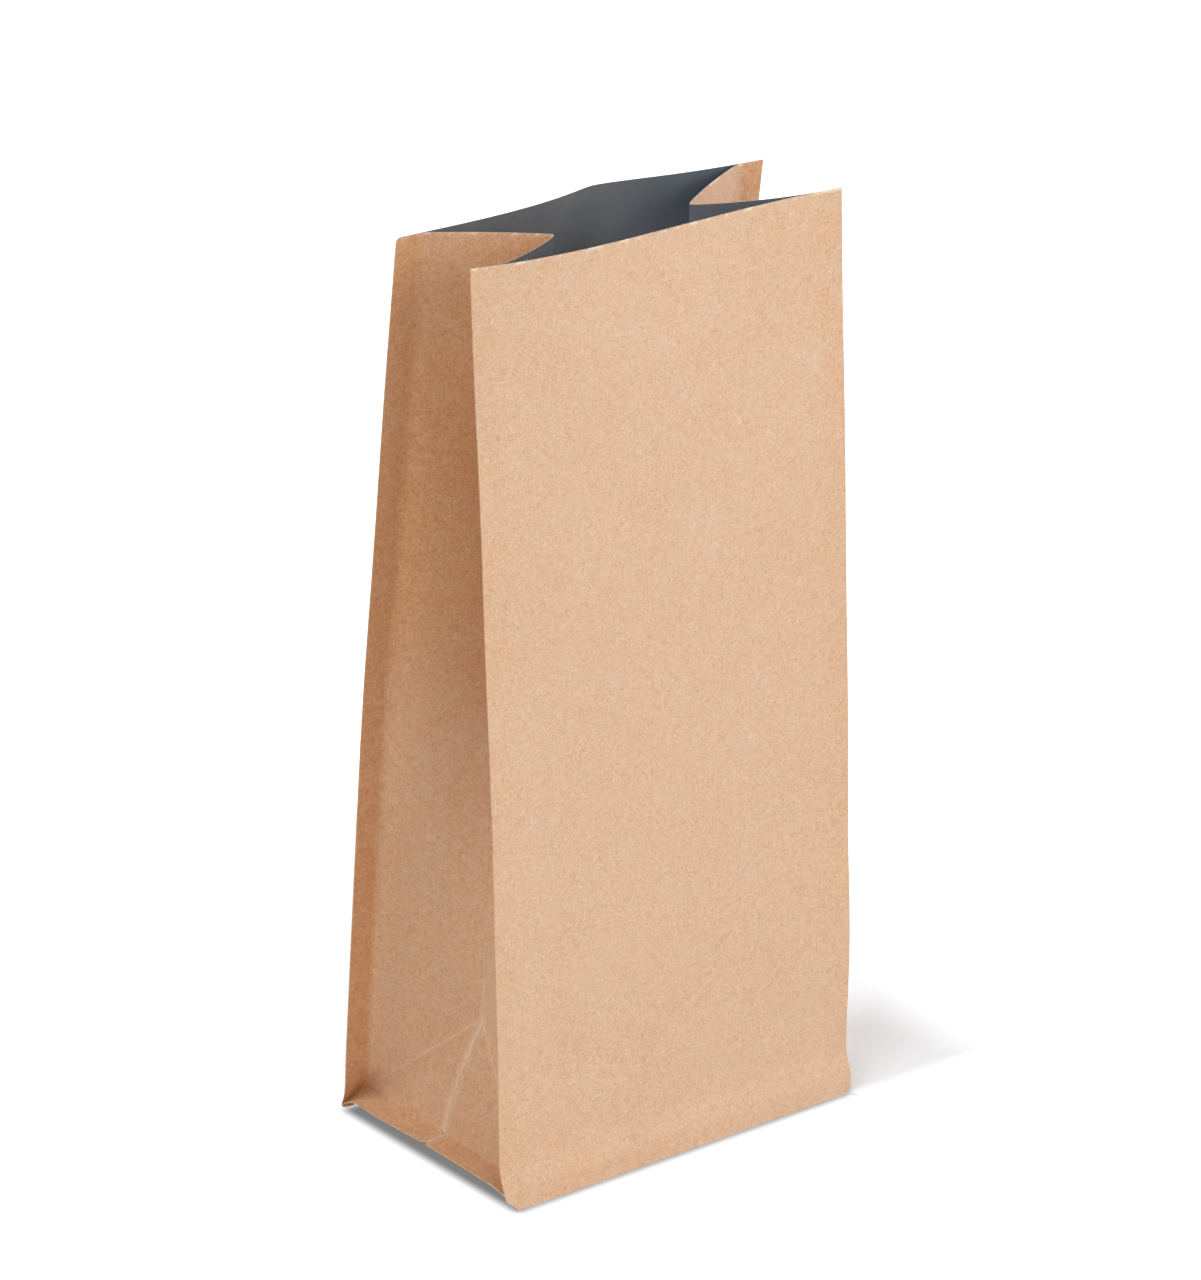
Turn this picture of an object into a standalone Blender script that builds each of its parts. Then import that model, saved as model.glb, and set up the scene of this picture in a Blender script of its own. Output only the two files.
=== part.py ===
"""Brown paper lunch bag with a film lining, standing open on its own base.

One laminate of paper and film is folded and heat-sealed all round, so the bag is one closed
solid: front and back panels, two side gussets folded inward, a base panel, and the sealed
fins and flanges where the panels meet.

Frame, in metres: +X along the front panel, the front panel faces -Y, +Z up. The origin is on
the floor under the middle of the bag's box.
"""

import math

import bmesh
import bpy
from mathutils import Vector

# Overall sizes
WIDTH = 0.130
HEIGHT = 0.284
FOOT_DEPTH = 0.0846
MOUTH_DEPTH = 0.0359

# Laminate and seals
SHEET = 0.0002
FIN_WIDTH = 0.009

# Base panel, measured to its underside, which slopes a little down to the back
BASE_LIFT_FRONT = 0.0068
BASE_LIFT_BACK = 0.0048
BASE_BOW = 0.0014
NOTCH_DEPTH = 0.0012

# Front panel: it leans back above its bend, and its foot flares forward
FRONT_LEAN = 0.0098
FRONT_BEND_HEIGHT = 0.085
FRONT_BEND_SOFTNESS = 0.057
FLARE = 0.0028
FLARE_TOP = 0.015
FLARE_BOTTOM = 0.005

# Back panel: it leans forward from the floor, and more above its bend
BACK_BEND_HEIGHT = 0.130
BACK_BEND_SOFTNESS = 0.030
BACK_BEND_LEAN = 0.0065

# Mouth edges, which swell out of line and settle further down
MOUTH_FADE = 0.090
FRONT_BULGE = 0.0024
FRONT_SWAY = 0.0055
BACK_BULGE = 0.0088
BACK_CREST_X = 0.009
BACK_CREST_REACH_LEFT = 0.021
BACK_CREST_REACH_RIGHT = 0.031
BACK_CREST_POWER_LEFT = 1.2
BACK_CREST_POWER_RIGHT = 1.6

# Side gussets: a triangle above the base, then an inward fold up to the mouth
APEX_HEIGHT = 0.0405
APEX_DEPTH = 0.0133
RIDGE = 0.0015
TIP_DEPTH_LEFT = 0.0333
TIP_DEPTH_RIGHT = 0.0311
TIP_BACKWARD_LEFT = 0.0034
TIP_BACKWARD_RIGHT = 0.0001
TIP_DIP_LEFT = 0.0030
TIP_DIP_RIGHT = 0.0023
ARM_BOW = 0.0012
FOLD_EASE = 1.45

# Rounding of the bottom corners of the front and back panels
WORN_CORNER = 0.0072
CORNER = 0.0020

# Divisions of the sheets
LEFT_COLUMNS = 9
RIGHT_COLUMNS = 7
FIN_ROWS = 5
TRIANGLE_ROWS = 8
UPPER_ROWS = 11

# Points of the sheets that meet closer than this are one point
MERGE_DISTANCE = 0.000002

# Material
PAPER_COLOUR = (0.70, 0.46, 0.30, 1.0)
PAPER_ROUGHNESS = 0.75

LEFT = -1
RIGHT = 1
SEAL = 2 * SHEET
ROOT_X = WIDTH / 2 - FIN_WIDTH
LAST_ROOT = LEFT_COLUMNS + RIGHT_COLUMNS + 1
LAST_EDGE = LAST_ROOT + 1
FLANGE_ROW = FIN_ROWS + 1
APEX_ROW = FLANGE_ROW + TRIANGLE_ROWS
TOP_ROW = APEX_ROW + UPPER_ROWS
GUSSET_COLUMNS = 2 * TRIANGLE_ROWS
BACK_LEAN = FOOT_DEPTH - FLARE - FRONT_LEAN - MOUTH_DEPTH


def lerp(a, b, t):
    """Value or vector at share t of the way from a to b."""
    return a + (b - a) * t


def smooth(t):
    """Smooth step from 0 to 1."""
    t = min(max(t, 0.0), 1.0)
    return t * t * (3 - 2 * t)


def bend(z, bend_height, softness):
    """Share of a lean that starts at a soft bend: 0 on the floor and 1 at the mouth."""
    def rise(height):
        away = height - bend_height
        return (away + math.hypot(away, softness)) / 2
    return (rise(z) - rise(0)) / (rise(HEIGHT) - rise(0))


def mouth_share(z):
    """How much of the mouth's swelling is left at height z: all at the mouth, none on the floor."""
    floor = math.exp(-HEIGHT / MOUTH_FADE)
    return (math.exp((z - HEIGHT) / MOUTH_FADE) - floor) / (1 - floor)


def front_y(x, z):
    """Outer face of the front panel."""
    u = 2 * x / WIDTH
    lean = FRONT_LEAN * bend(z, FRONT_BEND_HEIGHT, FRONT_BEND_SOFTNESS)
    flare = FLARE * smooth((FLARE_TOP - z) / (FLARE_TOP - FLARE_BOTTOM))
    bulge = mouth_share(z) * (1 - u * u) * (FRONT_BULGE - FRONT_SWAY * u)
    return FLARE - FOOT_DEPTH / 2 + lean - flare - bulge


def back_y(x, z):
    """Outer face of the back panel."""
    even = (BACK_LEAN - BACK_BEND_LEAN) * z / HEIGHT
    bent = BACK_BEND_LEAN * bend(z, BACK_BEND_HEIGHT, BACK_BEND_SOFTNESS)
    away = x - BACK_CREST_X
    if away < 0:
        crest = math.exp(-(-away / BACK_CREST_REACH_LEFT) ** BACK_CREST_POWER_LEFT)
    else:
        crest = math.exp(-(away / BACK_CREST_REACH_RIGHT) ** BACK_CREST_POWER_RIGHT)
    return FOOT_DEPTH / 2 - even - bent + mouth_share(z) * BACK_BULGE * crest


def base_lift(v):
    """Height of the base's underside at share v of the way from the front to the back."""
    return lerp(BASE_LIFT_FRONT, BASE_LIFT_BACK, v)


def level(row, v):
    """Height of a row of the sheet, from the floor (row 0) to the mouth (TOP_ROW)."""
    lift = base_lift(v)
    if row <= FIN_ROWS:
        return lift * row / FIN_ROWS
    if row <= APEX_ROW:
        return lerp(lift + SEAL, APEX_HEIGHT, (row - FLANGE_ROW) / TRIANGLE_ROWS)
    return lerp(APEX_HEIGHT, HEIGHT, (row - APEX_ROW) / UPPER_ROWS)


def edge_x(side, v, z):
    """Side edge of the front (v = 0) or back (v = 1) panel, with its rounded bottom corner."""
    radius = WORN_CORNER if side == LEFT and v == 0 else CORNER
    drop = max(radius - z, 0.0)
    return side * (WIDTH / 2 - radius + math.sqrt(radius * radius - drop * drop))


def panel_x(column, v, z):
    """Place of a column of a panel: fin edge, fin root, even steps to the crest and beyond."""
    if column == 0:
        return edge_x(LEFT, v, z)
    if column == LAST_EDGE:
        return edge_x(RIGHT, v, z)
    past_crest = column - 1 - LEFT_COLUMNS
    if past_crest < 0:
        return lerp(BACK_CREST_X, -ROOT_X, -past_crest / LEFT_COLUMNS)
    return lerp(BACK_CREST_X, ROOT_X, past_crest / RIGHT_COLUMNS)


def panel_point(column, row, v, inset):
    """Point of the front (v = 0) or back (v = 1) panel, inset by some layers of sheet."""
    z = level(row, v)
    x = panel_x(column, v, z)
    y = front_y(x, z) + inset if v == 0 else back_y(x, z) - inset
    return Vector((x, y, z))


def gusset_point(side, row, column):
    """Point of the paper side of a gusset, from its front root (column 0) to its back root."""
    v = column / GUSSET_COLUMNS
    arm = 1 - abs(2 * v - 1)
    z = level(row, v)
    front = front_y(side * ROOT_X, level(row, 0)) + SEAL
    back = back_y(side * ROOT_X, level(row, 1)) - SEAL
    if row <= APEX_ROW:
        rise = (row - FLANGE_ROW) / TRIANGLE_ROWS
        fold = APEX_DEPTH * min(rise, arm)
        ridge = RIDGE * 4 * rise * max(arm - rise, 0.0)
        bow = BASE_BOW * (1 - rise) * arm * (2 - arm)
        return Vector((side * (ROOT_X - fold + ridge + bow), lerp(front, back, v), z))
    height = (row - APEX_ROW) / UPPER_ROWS
    tip_depth = TIP_DEPTH_LEFT if side == LEFT else TIP_DEPTH_RIGHT
    tip_backward = TIP_BACKWARD_LEFT if side == LEFT else TIP_BACKWARD_RIGHT
    tip_dip = TIP_DIP_LEFT if side == LEFT else TIP_DIP_RIGHT
    fold = lerp(APEX_DEPTH, tip_depth, 1 - (1 - height) ** FOLD_EASE)
    tip_y = (front + back) / 2 + tip_backward * height
    root_y = front if v < 0.5 else back
    bow = ARM_BOW * height * 4 * arm * (1 - arm)
    y = lerp(root_y, tip_y, arm) + (bow if v > 0.5 else -bow)
    return Vector((side * (ROOT_X - fold * arm), y, z - tip_dip * height * height * arm))


def gusset_row(side, row):
    """Paper side of one row of a gusset sheet, with the strips sealed into both fins."""
    last = 0 if side == LEFT else LAST_EDGE
    across = [gusset_point(side, row, column) for column in range(GUSSET_COLUMNS + 1)]
    return [panel_point(last, row, 0, SEAL)] + across + [panel_point(last, row, 1, SEAL)]


def film_row(side, row):
    """Film side of one row of a gusset, one sheet inward of its paper side."""
    outer = gusset_row(side, row)
    film = []
    for before, point, after in zip(outer, outer[1:], outer[2:]):
        arriving = (point - before).to_2d().normalized()
        leaving = (after - point).to_2d().normalized()
        facing = [Vector((d.y, -d.x)) * -side for d in (arriving, leaving)]
        step = (facing[0] + facing[1]) * SHEET / (1 + facing[0].dot(facing[1]))
        film.append(point + step.to_3d())
    if row == FLANGE_ROW:
        for point in film:
            point.z -= SHEET
    return film


def film_panel_point(column, row, v):
    """Film side of the front or back panel, between the film sides of the two gussets."""
    if column in (1, LAST_ROOT):
        side = LEFT if column == 1 else RIGHT
        return film_row(side, row)[0 if v == 0 else -1]
    point = panel_point(column, row, v, SHEET)
    if row == FLANGE_ROW:
        point.z -= SHEET
    return point


def base_row(step, film):
    """One row across the base, at share step / GUSSET_COLUMNS from the front to the back."""
    v = step / GUSSET_COLUMNS
    columns = range(1, LAST_ROOT + 1) if film else range(LAST_EDGE + 1)
    row = FLANGE_ROW if film else FIN_ROWS
    points = []
    for column in columns:
        if film and column in (1, LAST_ROOT):
            points.append(film_row(LEFT if column == 1 else RIGHT, row)[step])
            continue
        if film:
            ends = [film_panel_point(column, row, end) for end in (0, 1)]
        else:
            ends = [panel_point(column, row, end, SEAL) for end in (0, 1)]
        point = lerp(ends[0], ends[1], v)
        if 0 < step < GUSSET_COLUMNS and column in (1, LAST_ROOT):
            point.x = gusset_point(LEFT if column == 1 else RIGHT, FLANGE_ROW, step).x
        if 0 < step < GUSSET_COLUMNS and column in (0, LAST_EDGE):
            point.x = flange_edge_x(LEFT if column == 0 else RIGHT, step)
        points.append(point)
    return points


def flange_edge_x(side, step):
    """Outer edge of a side flange, which is nicked where its crease runs out."""
    notch = NOTCH_DEPTH if step == GUSSET_COLUMNS // 2 else 0.0
    return side * (WIDTH / 2 - notch)


def flange_edge_row(side):
    """Top outer edge of a side flange, from the front fin to the back fin."""
    last = 0 if side == LEFT else LAST_EDGE
    ends = [panel_point(last, FLANGE_ROW, end, SEAL) for end in (0, 1)]
    points = [lerp(ends[0], ends[1], step / GUSSET_COLUMNS) for step in range(GUSSET_COLUMNS + 1)]
    for step in range(1, GUSSET_COLUMNS):
        points[step].x = flange_edge_x(side, step)
    return points


def add_sheet(mesh, rows, turn_at=None):
    """Triangles between rows of points; past column turn_at the diagonals change hand."""
    grid = [[mesh.verts.new(point) for point in row] for row in rows]
    for lower, upper in zip(grid, grid[1:]):
        for column in range(len(lower) - 1):
            a, b, c, d = lower[column], lower[column + 1], upper[column + 1], upper[column]
            if turn_at is not None and column >= turn_at:
                mesh.faces.new((a, b, d))
                mesh.faces.new((b, c, d))
            else:
                mesh.faces.new((a, b, c))
                mesh.faces.new((a, c, d))


def add_panels(mesh):
    """Front and back panels: paper side, film side, and the edges of the mouth and foot."""
    columns = range(LAST_EDGE + 1)
    inner = range(1, LAST_ROOT + 1)
    for v in (0, 1):
        paper = [[panel_point(c, r, v, 0) for c in columns] for r in range(TOP_ROW + 1)]
        foot = [[panel_point(c, r, v, SEAL) for c in columns] for r in range(FLANGE_ROW)]
        film = [[film_panel_point(c, r, v) for c in inner] for r in range(FLANGE_ROW, TOP_ROW + 1)]
        add_sheet(mesh, paper)
        add_sheet(mesh, foot)
        add_sheet(mesh, film)
        add_sheet(mesh, [paper[0], foot[0]])
        add_sheet(mesh, [paper[-1][1:-1], film[-1]])


def add_fins(mesh):
    """Corner fins: their inner faces, their side edges, and their tops at the mouth."""
    for v in (0, 1):
        for edge, root in ((0, 1), (LAST_EDGE, LAST_ROOT)):
            rows = range(FLANGE_ROW, TOP_ROW + 1)
            add_sheet(mesh, [[panel_point(c, r, v, SEAL) for c in (edge, root)] for r in rows])
            rows = range(TOP_ROW + 1)
            add_sheet(mesh, [[panel_point(edge, r, v, inset) for inset in (0, SEAL)] for r in rows])
            top = [[panel_point(c, TOP_ROW, v, inset) for c in (edge, root)] for inset in (0, SEAL)]
            add_sheet(mesh, top)
            corner = [top[0][1], top[1][1], film_panel_point(root, TOP_ROW, v)]
            mesh.faces.new([mesh.verts.new(point) for point in corner])


def add_gussets(mesh):
    """Side gussets: paper side, film side, mouth edge, and the flange at the base."""
    rows = range(FLANGE_ROW, TOP_ROW + 1)
    for side in (LEFT, RIGHT):
        paper = [gusset_row(side, row)[1:-1] for row in rows]
        film = [film_row(side, row) for row in rows]
        add_sheet(mesh, paper, TRIANGLE_ROWS)
        add_sheet(mesh, film, TRIANGLE_ROWS)
        add_sheet(mesh, [paper[-1], film[-1]])
        edge = 0 if side == LEFT else -1
        under = [base_row(step, False)[edge] for step in range(GUSSET_COLUMNS + 1)]
        add_sheet(mesh, [paper[0], flange_edge_row(side)])
        add_sheet(mesh, [flange_edge_row(side), under])


def add_base(mesh):
    """Base panel: its underside with the flanges' undersides, and its film side."""
    for film in (False, True):
        add_sheet(mesh, [base_row(step, film) for step in range(GUSSET_COLUMNS + 1)])


def paper_material():
    """Uncoated brown sack paper."""
    material = bpy.data.materials.new("brown_paper")
    material.use_nodes = True
    shader = material.node_tree.nodes["Principled BSDF"]
    shader.inputs["Base Color"].default_value = PAPER_COLOUR
    shader.inputs["Roughness"].default_value = PAPER_ROUGHNESS
    shader.inputs["Metallic"].default_value = 0.0
    return material


def build_bag():
    """The whole bag as one object."""
    mesh = bmesh.new()
    add_panels(mesh)
    add_fins(mesh)
    add_gussets(mesh)
    add_base(mesh)
    bmesh.ops.remove_doubles(mesh, verts=mesh.verts, dist=MERGE_DISTANCE)
    bmesh.ops.recalc_face_normals(mesh, faces=mesh.faces)
    data = bpy.data.meshes.new("paper_bag")
    mesh.to_mesh(data)
    mesh.free()
    data.materials.append(paper_material())
    bag = bpy.data.objects.new("paper_bag", data)
    bpy.context.scene.collection.objects.link(bag)


for old in list(bpy.data.objects):
    bpy.data.objects.remove(old)
build_bag()
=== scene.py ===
"""Looks of the brown paper lunch bag: its lined shell, the fray at its mouth, and the studio.

The bag is one folded and heat-sealed laminate of paper and film. Its shell is built here from
the same sizes as the CAD solid, with soft bends, rounded folds and rubbed creases. All lengths
are metres: +X runs along the front panel, the front panel faces -Y, and +Z is up.
"""

import logging
import math
from dataclasses import asdict, dataclass, field
from enum import Enum
from functools import reduce

import bmesh
import bpy
import numpy as np
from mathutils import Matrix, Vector

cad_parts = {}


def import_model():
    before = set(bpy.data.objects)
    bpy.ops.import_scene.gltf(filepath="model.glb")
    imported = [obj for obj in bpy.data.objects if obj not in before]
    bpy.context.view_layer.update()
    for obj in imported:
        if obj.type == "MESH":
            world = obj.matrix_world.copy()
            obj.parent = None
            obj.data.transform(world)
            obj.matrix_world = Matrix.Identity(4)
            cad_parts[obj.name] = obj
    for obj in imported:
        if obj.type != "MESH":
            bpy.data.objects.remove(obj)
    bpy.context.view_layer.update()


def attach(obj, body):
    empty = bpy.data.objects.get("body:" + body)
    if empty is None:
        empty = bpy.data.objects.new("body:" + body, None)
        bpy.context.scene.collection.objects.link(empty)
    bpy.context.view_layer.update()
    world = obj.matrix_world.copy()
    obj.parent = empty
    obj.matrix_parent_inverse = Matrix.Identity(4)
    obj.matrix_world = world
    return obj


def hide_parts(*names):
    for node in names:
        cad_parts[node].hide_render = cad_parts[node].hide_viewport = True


BODY = "root"
CAD_NODE = "paper_bag"

# Points of neighbouring sheets that meet closer than this are one point
MERGE_DISTANCE = 0.000002

# Faces that meet at more than this angle keep a crisp edge
CRISP_ANGLE = math.radians(38)

# Marks that the points keep for the finishes, with their values on a plain sheet: a sealed band,
# which on the gussets also carries painted shade, a rubbed line, painted shade in folds and
# corners, and distances from the mouth's edge, the centre crease and a diagonal
PLAIN_MARKS = {
    "seal": 0.0,
    "crease": 0.0,
    "dim": 0.0,
    "mouth_depth": 1.0,
    "centre": 1.0,
    "diagonal": -1.0,
}

log = logging.getLogger("paper_bag_scene")

# Short names of types; a span is two numbers and a tint a colour that is fixed or linked
Array = np.ndarray
Socket = bpy.types.NodeSocket
Span = tuple[float, float]
Triple = tuple[float, float, float]
Value = Socket | float
Tint = Socket | Triple


class Side(Enum):
    """Left and right of the bag, as seen from its front."""

    LEFT = -1
    RIGHT = 1

    @property
    def column(self) -> int:
        """Index of the column that a sheet has along this side."""
        return 0 if self is Side.LEFT else -1


class Layer(Enum):
    """The finish that a face of the shell shows, in the order of its material slots."""

    PAPER = 0
    FILM = 1
    CUT = 2


def ramp(value: Array, start: float = 0.0, reach: float = 1.0) -> Array:
    """Smooth step from 0 at the start to 1 at the end of the reach."""
    t = np.clip((value - start) / reach, 0.0, 1.0)
    return t * t * (3 - 2 * t)


def hump(distance: Array, reach: float) -> Array:
    """Bell that is 1 at no distance and fades over the reach."""
    return np.exp(-((distance / reach) ** 2))


def lerp(a: Array, b: Array, t: Array) -> Array:
    """Value at share t of the way from a to b."""
    return a + (b - a) * t


def put(name: str, data: bpy.types.ID) -> bpy.types.Object:
    """Adds an object with the given data to the scene, at the origin.

    Args:
        name: Name of the object.
        data: Its mesh, light or camera.

    Returns:
        The object.
    """
    added = bpy.data.objects.new(name, data)
    bpy.context.scene.collection.objects.link(added)
    return added


@dataclass(frozen=True)
class BagSize:
    """Overall sizes of the bag and of its laminate."""

    width: float = 0.130
    height: float = 0.284
    foot_depth: float = 0.0846
    sheet: float = 0.0002
    fin_width: float = 0.009
    lift_front: float = 0.0068
    lift_back: float = 0.0048

    @property
    def seal(self) -> float:
        """Thickness of two sheets sealed together."""
        return 2 * self.sheet

    @property
    def root_x(self) -> float:
        """Half width between the roots of the corner fins."""
        return self.width / 2 - self.fin_width

    def lift(self, v: Array) -> Array:
        """Height of the base's underside at share v of the way from front to back."""
        return lerp(self.lift_front, self.lift_back, v)


@dataclass(frozen=True)
class MouthSwell:
    """How the swelling of the mouth's edges fades down the bag."""

    size: BagSize
    fade: float = 0.090

    def share(self, z: Array) -> Array:
        """What is left of the swelling at height z: all at the mouth, none on the floor."""
        floor = math.exp(-self.size.height / self.fade)
        return (np.exp((z - self.size.height) / self.fade) - floor) / (1 - floor)


def soft_bend(z: Array, height: float, bend: float, softness: float) -> Array:
    """Share of a lean that starts at a soft bend.

    Args:
        z: Heights above the floor.
        height: Height where the share reaches 1.
        bend: Height of the bend.
        softness: How gradual the bend is.

    Returns:
        The share at each height, 0 on the floor.
    """

    def rise(level: Array) -> Array:
        away = level - bend
        return (away + np.hypot(away, softness)) / 2

    return (rise(z) - rise(0.0)) / (rise(height) - rise(0.0))


@dataclass(frozen=True)
class FrontPanel:
    """Front panel: it leans back above a soft bend, and its foot flares forward."""

    size: BagSize
    swell: MouthSwell
    lean: float = 0.0098
    bend_height: float = 0.085
    bend_softness: float = 0.057
    flare: float = 0.0028
    flare_top: float = 0.015
    flare_bottom: float = 0.005
    bulge: float = 0.0024
    sway: float = 0.0055
    belly: float = 0.0012
    belly_height: float = 0.052
    belly_reach: float = 0.026
    belly_start: float = -0.2

    def y(self, x: Array, z: Array) -> Array:
        """Outer face of the panel at x and z.

        Args:
            x: Places across the bag.
            z: Heights above the floor.

        Returns:
            The y of each point.
        """
        u = 2 * x / self.size.width
        lean = self.lean * soft_bend(z, self.size.height, self.bend_height, self.bend_softness)
        flare = self.flare * ramp(-z, -self.flare_top, self.flare_top - self.flare_bottom)
        bulge = self.swell.share(z) * (1 - u * u) * (self.bulge - self.sway * u)
        belly = self.belly * hump(z - self.belly_height, self.belly_reach)
        belly = belly * ramp(u, self.belly_start, 1 - self.belly_start)
        return self.flare - self.size.foot_depth / 2 + lean - flare - bulge - belly


@dataclass(frozen=True)
class BackPanel:
    """Back panel: it leans forward from the floor, and its mouth swells to a crest."""

    size: BagSize
    swell: MouthSwell
    lean: float = 0.0361
    bend_height: float = 0.130
    bend_softness: float = 0.030
    bend_lean: float = 0.0065
    bulge: float = 0.0088
    crest_x: float = 0.009
    reach_left: float = 0.021
    reach_right: float = 0.031
    power_left: float = 1.2
    power_right: float = 1.6

    def y(self, x: Array, z: Array) -> Array:
        """Outer face of the panel at x and z.

        Args:
            x: Places across the bag.
            z: Heights above the floor.

        Returns:
            The y of each point.
        """
        even = (self.lean - self.bend_lean) * z / self.size.height
        bent = self.bend_lean * soft_bend(
            z, self.size.height, self.bend_height, self.bend_softness
        )
        away = x - self.crest_x
        left = np.exp(-((np.maximum(-away, 0) / self.reach_left) ** self.power_left))
        right = np.exp(-((np.maximum(away, 0) / self.reach_right) ** self.power_right))
        crest = np.where(away < 0, left, right)
        return self.size.foot_depth / 2 - even - bent + self.swell.share(z) * self.bulge * crest


@dataclass(frozen=True)
class Rows:
    """Rows of the sheets, from the floor up to the mouth."""

    size: BagSize
    apex_height: float = 0.0405
    foot: int = 6
    triangle: int = 36
    upper: int = 92
    crowding: float = 0.6

    @property
    def flange(self) -> int:
        """Row along the top of the side flanges."""
        return self.foot + 1

    @property
    def apex(self) -> int:
        """Row through the apexes of the gusset triangles."""
        return self.flange + self.triangle

    @property
    def top(self) -> int:
        """Row along the mouth."""
        return self.apex + self.upper

    def rise(self) -> Array:
        """Share of the triangles' height for each row: 0 at the flange, 1 from the apex up."""
        rows = np.arange(self.top + 1)
        return np.clip((rows - self.flange) / self.triangle, 0.0, 1.0)

    def climb(self) -> Array:
        """Share of the way from the apex to the mouth for each row, crowded at both ends.

        Returns:
            The shares, 0 up to the apex's row.
        """
        rows = np.arange(self.top + 1)
        even = np.clip((rows - self.apex) / self.upper, 0.0, 1.0)
        return even - self.crowding * np.sin(2 * np.pi * even) / (2 * np.pi)

    def level(self, v: Array) -> Array:
        """Heights of all rows at shares v of the way from front to back.

        Args:
            v: Shares, as one number or as a list of columns.

        Returns:
            Heights as rows by columns.
        """
        rows = np.arange(self.top + 1)[:, None]
        lift = self.size.lift(np.atleast_1d(v))[None, :]
        foot = lift * rows / self.foot
        triangle = lerp(lift + self.size.seal, self.apex_height, self.rise()[:, None])
        upper = lerp(self.apex_height, self.size.height, self.climb()[:, None])
        lower = np.where(rows <= self.foot, foot, triangle)
        return np.where(rows <= self.apex, lower, upper)


@dataclass(frozen=True)
class GussetShape:
    """Inward fold of one side gusset and the triangle at its foot."""

    side: Side
    tip_depth: float
    tip_backward: float
    tip_dip: float
    front_bow: float
    back_bow: float
    apex_depth: float = 0.0133
    fold_ease: float = 1.45
    ridge: float = 0.0015
    base_bow: float = 0.0014
    base_lobe: float = 0.0014
    base_lobe_share: float = 0.69
    base_lobe_reach: float = 0.10
    crease_softness: float = 0.05
    # Painted shade of the gusset as shares of the sealed tint, low, high and at the mouth;
    # seal_shade tints the fins' inner faces and root_shade the bends into them as sealed bands
    low_shade: float = 0.40
    high_shade: float = 1.00
    mouth_shade: float = 0.60
    seal_shade: float = 0.90
    root_shade: float = 0.90
    tip_radius: float = 0.0005
    bend_share: float = 0.055
    triangle_roundness: float = 0.012
    blend_climb: float = 0.12
    tip_crowding: float = 1.6


LEFT_GUSSET = GussetShape(
    side=Side.LEFT,
    tip_depth=0.0333,
    tip_backward=0.0034,
    tip_dip=0.0030,
    front_bow=0.0012,
    back_bow=0.0012,
)
RIGHT_GUSSET = GussetShape(
    side=Side.RIGHT,
    tip_depth=0.0311,
    tip_backward=0.0001,
    tip_dip=0.0023,
    front_bow=0.0018,
    back_bow=0.0010,
    high_shade=0.0,
    mouth_shade=0.0,
    seal_shade=0.75,
    root_shade=0.15,
)
GUSSETS = (LEFT_GUSSET, RIGHT_GUSSET)


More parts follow.
